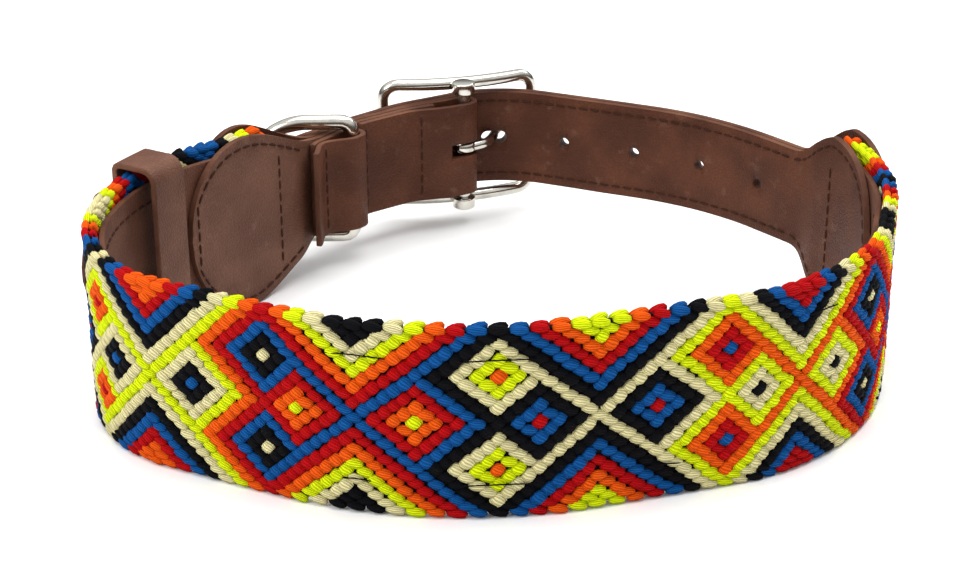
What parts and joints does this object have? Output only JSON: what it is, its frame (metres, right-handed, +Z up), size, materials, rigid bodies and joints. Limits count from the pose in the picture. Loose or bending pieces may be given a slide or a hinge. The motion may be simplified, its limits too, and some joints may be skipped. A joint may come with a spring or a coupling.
{
  "type": "dog collar",
  "caption": "Wide hand-knotted dog collar on a leather lining, with a leather strap with punched holes, centre-bar buckle, D-ring and keeper loop.",
  "frame": {"origin": "on the ground, at the middle of the closed collar's footprint", "axes": "+Z up, along the band's height; +Y towards the buckle; +X towards the shield of the strap with the holes"},
  "size_m": [0.1935, 0.1762, 0.0492],
  "materials": {
    "knotted_cotton": "waxed cotton double half-hitch knots in six colours",
    "lining_leather": "smooth brown leather lining",
    "leather": "matt brown leather with raw cut edges",
    "nickel": "polished nickel plate",
    "thread": "dark brown sewing thread"
  },
  "bodies": {
    "collar": {"woven_band": "knotted_cotton", "band_lining": "lining_leather", "buckle_strap_outer": "leather", "buckle_strap_inner": "leather", "hole_strap_outer": "leather", "hole_strap_inner": "leather", "dring_tab": "leather", "left_shield_needle_thread": "thread", "left_shield_bobbin_thread": "thread", "right_shield_needle_thread": "thread", "right_shield_bobbin_thread": "thread", "upper_lining_thread": "thread", "lower_lining_thread": "thread", "upper_strap_needle_thread": "thread", "lower_strap_needle_thread": "thread", "upper_strap_bobbin_thread": "thread", "lower_strap_bobbin_thread": "thread", "left_band_end_thread": "thread", "right_band_end_thread": "thread", "flap_near_thread": "thread", "flap_far_thread": "thread", "dring_tab_thread": "thread"},
    "ring": {"d_ring": "nickel"},
    "buckle": {"buckle_frame": "nickel", "buckle_centre_bar": "nickel"},
    "tongue": {"prong": "nickel"},
    "keeper": {"keeper_loop": "leather"}
  },
  "joints": [
    {"name": "dring_swing", "type": "hinge", "parent": "collar", "child": "ring", "pos_m": [-0.03709, 0.04712, 0.0227], "axis": [0, 0, -1], "range_deg": [0, 85]},
    {"name": "buckle_tilt", "type": "hinge", "parent": "collar", "child": "buckle", "pos_m": [-0.00822, 0.07128, 0.0227], "axis": [0, 0, 1], "range_deg": [-2, 2]},
    {"name": "prong_swing", "type": "hinge", "parent": "buckle", "child": "tongue", "pos_m": [-0.00822, 0.07128, 0.0227], "axis": [0, 0, 1], "range_deg": [0, 4]},
    {"name": "keeper_slide", "type": "hinge", "parent": "collar", "child": "keeper", "pos_m": [-0.03608, -0.03213, 0.0227], "axis": [0, 0, 1], "range_deg": [0, 20]}
  ]
}
